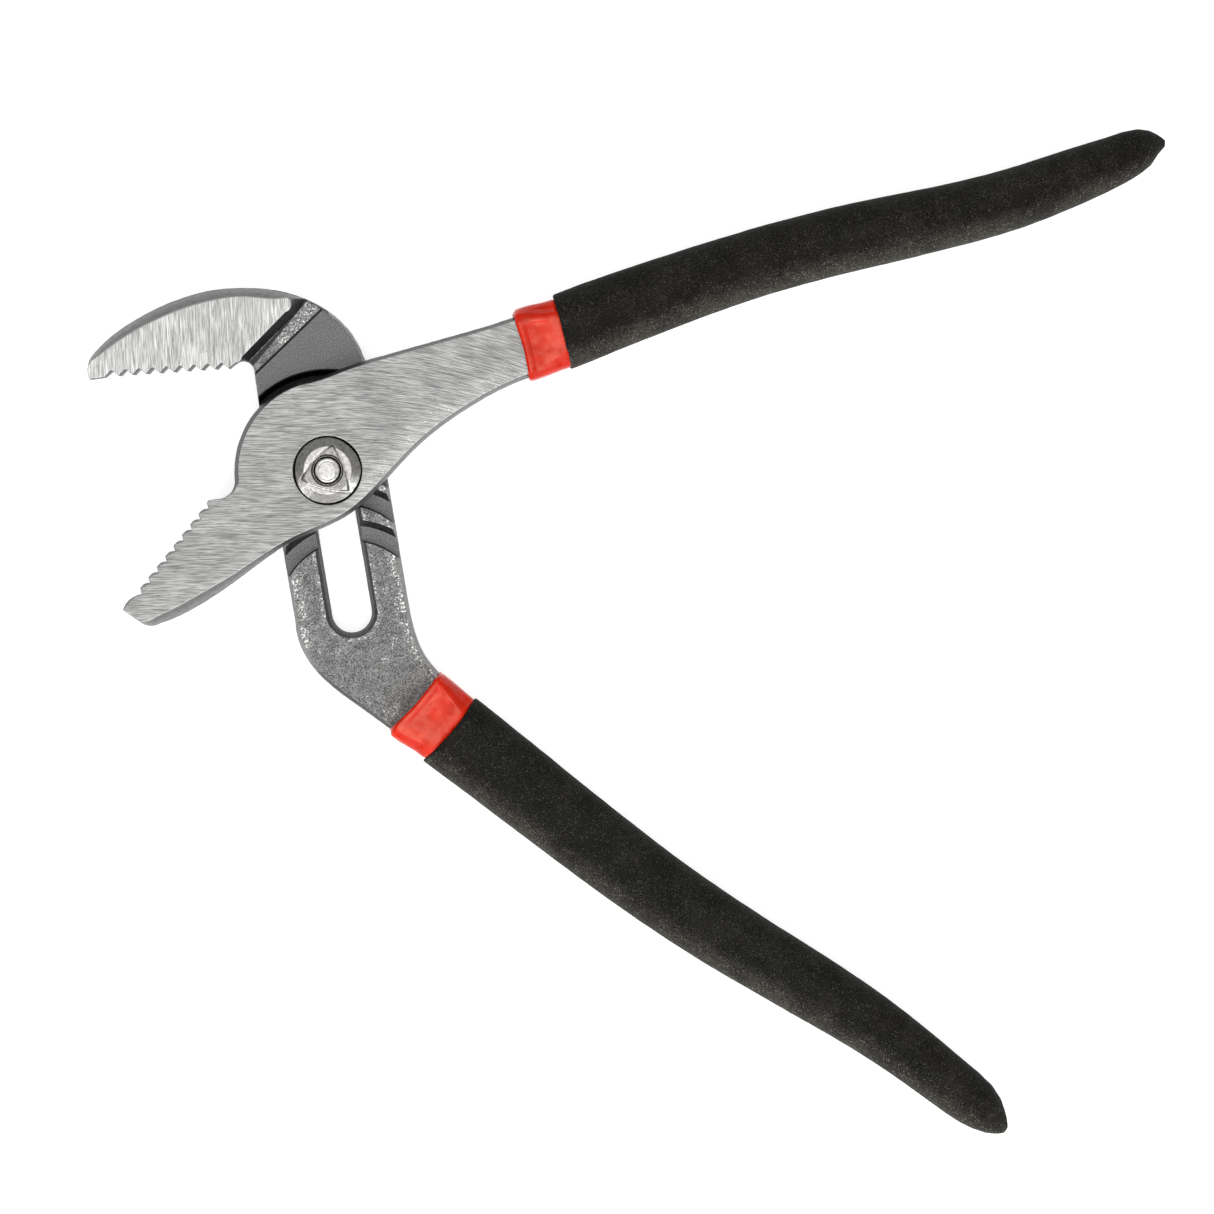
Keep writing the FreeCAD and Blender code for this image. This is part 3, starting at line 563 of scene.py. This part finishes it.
def nut():
    """The locking nut: a domed ring with a raised triangle around the bolt's peened end."""
    sides = 180
    angles = around(sides)
    foot = [(NUT_BORE + 0.1, NUT_SEAT), (NUT_RADIUS - 0.25, NUT_SEAT), (NUT_RADIUS, NUT_SEAT + 0.25)]
    radii = [np.full(sides, radius) for radius, height in foot]
    heights = [np.full(sides, height) for radius, height in foot]
    painted_shade = [np.zeros(sides) for ring in foot]
    lobes = 0.10 * np.cos(3 * angles + 0.6) + 0.05 * np.cos(5 * angles)
    painted_sheen = sum(0.8 * bump(angles, angle, reach) for angle, reach in NUT_SHEEN)
    for radius in np.linspace(NUT_RADIUS, NUT_BORE, 90):
        inward = NUT_RADIUS - radius
        rim = radius + lobes * ramp(radius, 5.5, 7.5) - 0.12
        spots = np.stack([rim * np.cos(angles), rim * np.sin(angles), 0 * angles], -1)
        inside = triangle_depth(spots[:, 0], spots[:, 1])
        slope = 0.95 * np.clip((inward - 0.1) / 2.45, 0, 1) ** 0.95
        edge = 0.2 * ramp(inward, 0.0, 0.14) - 0.2
        boss = 0.5 * ramp(inside, -0.1, 0.35) - 0.10 * ramp(inside, 0.3, 3.0)
        furrow = -0.18 * bump(inside, -0.25, 0.22)
        chamfer = -1.3 * ramp(-radius, -4.3, -3.85)
        dents = 0.05 * lumps(spots, 1.1, 5) + 0.03 * lumps(spots, 0.45, 6)
        radii.append(rim)
        heights.append(NUT_SEAT + NUT_RIM + slope + edge + boss + furrow + chamfer + dents)
        # Painted shade: inside the triangle, and on the ring outside it except at the painted highlights.
        painted_shade.append(np.maximum(0.53 * ramp(inside, 0.0, 0.3),
                               (0.9 - painted_sheen) * ramp(radius, 6.0, 6.4) * ramp(-inside, 0.0, 0.3)))
    mesh = polar_mesh("pivot_nut_plated", np.array(radii), np.array(heights), True)
    mesh.attributes.new("painted_shade", "FLOAT", "POINT").data.foreach_set("value", np.ravel(painted_shade))
    new_piece("pivot_nut_plated", mesh, "pivot", zinc("nut_zinc", 0.5, 0.2), "pivot_nut")


def bolt():
    """The pivot bolt: a chamfered head, a shank and a peened end."""
    low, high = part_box("pivot_bolt")
    head, top = high.x / MM, high.z / MM
    head_profile = [(1.0, 0.0), (head - 1.1, 0.0), (head - 0.85, 0.06), (head - 0.08, 0.82), (head, 1.0),
                    (head, 1.75), (head - 0.08, 1.98), (head - 0.3, HEAD_TOP)]
    shank_profile = [(SHANK_RADIUS + 0.25, HEAD_TOP), (SHANK_RADIUS, HEAD_TOP + 0.22),
                     (SHANK_RADIUS, SHANK_TOP - 0.3), (SHANK_RADIUS - 0.3, SHANK_TOP),
                     (BOLT_END_RADIUS + 0.1, SHANK_TOP), (BOLT_END_RADIUS, SHANK_TOP + 0.2)]
    # radius, depth under the top: the rounded edge, the peened ring with its furrow, and the flat middle
    peened = [(BOLT_END_RADIUS, 0.62), (BOLT_END_RADIUS - 0.06, 0.42), (BOLT_END_RADIUS - 0.2, 0.22),
              (BOLT_END_RADIUS - 0.38, 0.1), (2.72, 0.06), (2.6, 0.1), (2.5, 0.26), (2.36, 0.27),
              (2.24, 0.12), (2.0, 0.05), (1.6, 0.02), (1.2, 0), (0.6, 0), (0.2, 0)]
    profile = head_profile + shank_profile + [(radius, top - depth) for radius, depth in peened]
    sides = 120
    angles = around(sides)
    radii = np.array([np.full(sides, radius) for radius, height in profile])
    heights = np.array([np.full(sides, height) for radius, height in profile])
    for ring in range(len(profile) - len(peened), len(profile)):
        radius = profile[ring][0]
        spots = np.stack([radius * np.cos(angles), radius * np.sin(angles), 0 * angles], -1)
        heights[ring] -= 0.05 + 0.05 * lumps(spots, 0.9, 8)
        radii[ring] += 0.03 * lumps(spots, 1.5, 9)
    mesh = polar_mesh("pivot_bolt_turned", radii, heights, False)
    new_piece("pivot_bolt_turned", mesh, "pivot", zinc("bolt_zinc", 0.53, 0.28), "pivot_bolt")


nut()
bolt()


# ------------------------------------------------------------------------------- sleeves and grips
def along_and_across(points, start, heading):
    """Offsets of points from a handle's station at the middle height, and the handle's directions there."""
    turn = math.radians(heading)
    forward = np.array([math.cos(turn), math.sin(turn), 0])
    sideways = np.array([-math.sin(turn), math.cos(turn), 0])
    return points - np.array([*start, INTERFACE]), forward, sideways


def mouth_rounding(along, reach, depth):
    """How far the skin falls in towards the very end of a cover."""
    nearness = np.clip(1 - along / reach, 0, 1)
    return depth * (1 - np.sqrt(1 - nearness ** 2))


def across_only(normals, forward):
    """The part of the normals that doesn't point along the handle."""
    return normals - (normals @ forward)[:, None] * forward


def shaped_sleeve(points, normals, start, heading, width, shoulder, crease, lean, thickened, narrowing,
                  sinking):
    """A dipped sleeve's points: a hollowed mouth with a rolled lip, a sunk flat between a round shoulder
    and a crease that leans, one thick mouth corner, and an end drawn in and tucked under the grip."""
    offset, forward, sideways = along_and_across(points, start, heading)
    along, aside, height = offset @ forward, offset @ sideways, offset[:, 2]
    across, side = np.abs(aside), np.sign(aside)
    on_flat = ramp(np.abs(height), 5.0, 6.6)
    left, right = ramp(aside, 5.0, 8.5), ramp(-aside, 5.0, 8.5)

    lip = 0.22 * bump(along, 0.85, 0.5) * on_flat
    past_crease = aside - (width / 2 - crease - lean * along)
    bevel = -0.26 * np.clip(past_crease, 0, 4) * ramp(np.abs(height), 2.5, 7.6)
    cheek = ramp(-past_crease, 0.0, 0.9) * ramp(width / 2 - 1.2 + aside, 0.0, shoulder) * on_flat
    sunk = -0.33 * cheek * ramp(along, 1.5, 2.8) * (1 - ramp(along, 8.2, 10.2))
    folds = 0.12 * lumps(points * (0.6, 1.0, 0.5), 3.2, 3) * (along < 12.0) * on_flat
    shaped = points + normals * (lip + sunk + folds + bevel)[:, None]

    rounded = mouth_rounding(along, 1.3, 1.1) * ramp(across, width / 2 - 3.5, width / 2 - 0.5)
    shaped -= across_only(normals, forward) * rounded[:, None]

    thick_side = left if thickened > 0 else right
    thick = abs(thickened) * thick_side * ramp(along, 0.2, 1.5) * (1 - ramp(along, 1.5, 10.0))
    at_end = ramp(along, 2.5, 10.5) * (1 - ramp(along, 11.4, 14.0))
    drawn_in = (narrowing[0] * left + narrowing[1] * right) * at_end
    shaped += (side * (thick - drawn_in))[:, None] * sideways
    low_corner = ramp(-aside, 3.5, 6.5) * ramp(along, 7.5, 10.6) * ramp(np.abs(height), 3.0, 6.0)
    shaped[:, 2] -= sinking * low_corner * np.sign(height)

    hollowed = (0.75 * (1 - (across / (width / 2)) ** 2) - 0.15) * (1 - ramp(along, 0.5, 5.0))
    tucked = 1.6 * ramp(along, 9.0, 11.0) * (1 - ramp(along, 11.3, 18.0))
    squeezed = 0.11 * ramp(along, 9.9, 11.1) * (1 - ramp(along, 11.4, 13.0))
    lateral = offset - along[:, None] * forward
    return shaped + (hollowed + tucked)[:, None] * forward - squeezed[:, None] * lateral


def shaped_grip(points, normals, start, heading, bow):
    """A foam grip's points: a rounded, bowed mouth and a slightly uneven skin."""
    offset, forward, sideways = along_and_across(points, start, heading)
    along, across = offset @ forward, offset @ sideways
    uneven = 0.09 * lumps(points, 14.0, 4) + 0.05 * lumps(points, 3.0, 6)
    rounded = mouth_rounding(along, 0.9, 0.35)
    bowed = bow * (1 - (across / 10.0) ** 2) * (1 - ramp(along, 0.5, 6.0))
    shaped = points + normals * (uneven - 0.08)[:, None] - across_only(normals, forward) * rounded[:, None]
    return shaped + bowed[:, None] * forward


def cover(node, name, body, material, rounds, shaped, place):
    """A soft cover as a fine mesh, shaped by a function of its points, its normals and its place."""
    mesh = softened(node, COVER_VOXEL, rounds)
    move_points(mesh, shaped(points_of(mesh), normals_of(mesh), **place))
    return new_piece(name, mesh, body, material, node)


red = vinyl()
black = foam()
for side in ("front", "rear"):
    half = side + "_half"
    cover(side + "_inner_sleeve", side + "_sleeve_vinyl", half, red, 4, shaped_sleeve,
          SLEEVES[side])
    grip = cover(side + "_grip", side + "_grip_foam", half, black, 7, shaped_grip, GRIPS[side])


# ------------------------------------------------------------------------------ floor, light, view
def floor():
    """White paper that glows a little, so that it stays pale."""
    mesh = bpy.data.meshes.new("floor")
    reach = 2.0
    corners = [(-reach, -reach, 0), (reach, -reach, 0), (reach, reach, 0), (-reach, reach, 0)]
    mesh.from_pydata(corners, [], [(0, 1, 2, 3)])
    graph = Graph("floor_paper", Emission_Color=(1, 1, 1, 1), Emission_Strength=0.6)
    mesh.materials.append(graph.finish((0.6, 0.6, 0.6, 1), 0.9))
    piece = bpy.data.objects.new("floor", mesh)
    piece.location.z = -0.2 * MM
    bpy.context.scene.collection.objects.link(piece)


def sky():
    """A soft tent: bright overhead and darker towards the horizon."""
    world = bpy.data.worlds.new("tent")
    bpy.context.scene.world = world
    world.use_nodes = True
    tree = world.node_tree
    direction = tree.nodes.new("ShaderNodeTexCoord").outputs["Generated"]
    height = tree.nodes.new("ShaderNodeSeparateXYZ")
    tree.links.new(direction, height.inputs[0])
    level = tree.nodes.new("ShaderNodeMapRange")
    level.interpolation_type = "SMOOTHSTEP"
    tree.links.new(height.outputs["Z"], level.inputs["Value"])
    for socket, value in (("From Min", 0.3), ("From Max", 0.92), ("To Min", 0.46), ("To Max", 1.55)):
        level.inputs[socket].default_value = value
    background = tree.nodes["Background"]
    tree.links.new(level.outputs[0], background.inputs["Strength"])
    background.inputs["Color"].default_value = (1, 1, 1, 1)


def soft_light(name, place, size, power):
    """A square light that looks at the tool, with its place and size in metres."""
    lamp = bpy.data.lights.new(name, "AREA")
    lamp.size = size
    lamp.energy = power
    piece = bpy.data.objects.new(name, lamp)
    piece.location = Vector(place)
    target = Vector((VIEW_CENTRE[0] * MM, VIEW_CENTRE[1] * MM, 0))
    piece.rotation_euler = (target - piece.location).to_track_quat("-Z", "Y").to_euler()
    bpy.context.scene.collection.objects.link(piece)


def camera():
    """Straight above the tool, turned as in the photograph."""
    lens = bpy.data.cameras.new("camera")
    lens.sensor_width = SENSOR
    lens.lens = SENSOR * (CAMERA_DISTANCE - VIEW_HEIGHT) / VIEW_WIDTH
    lens.clip_end = 100
    piece = bpy.data.objects.new("camera", lens)
    piece.location = (VIEW_CENTRE[0] * MM, VIEW_CENTRE[1] * MM, CAMERA_DISTANCE * MM)
    piece.rotation_euler = (0, 0, VIEW_TURN)
    bpy.context.scene.collection.objects.link(piece)
    bpy.context.scene.camera = piece


floor()
sky()
soft_light("key", (-0.05, -0.85, 0.45), 1.4, 13.0)
camera()
bpy.context.scene.view_settings.view_transform = "Standard"
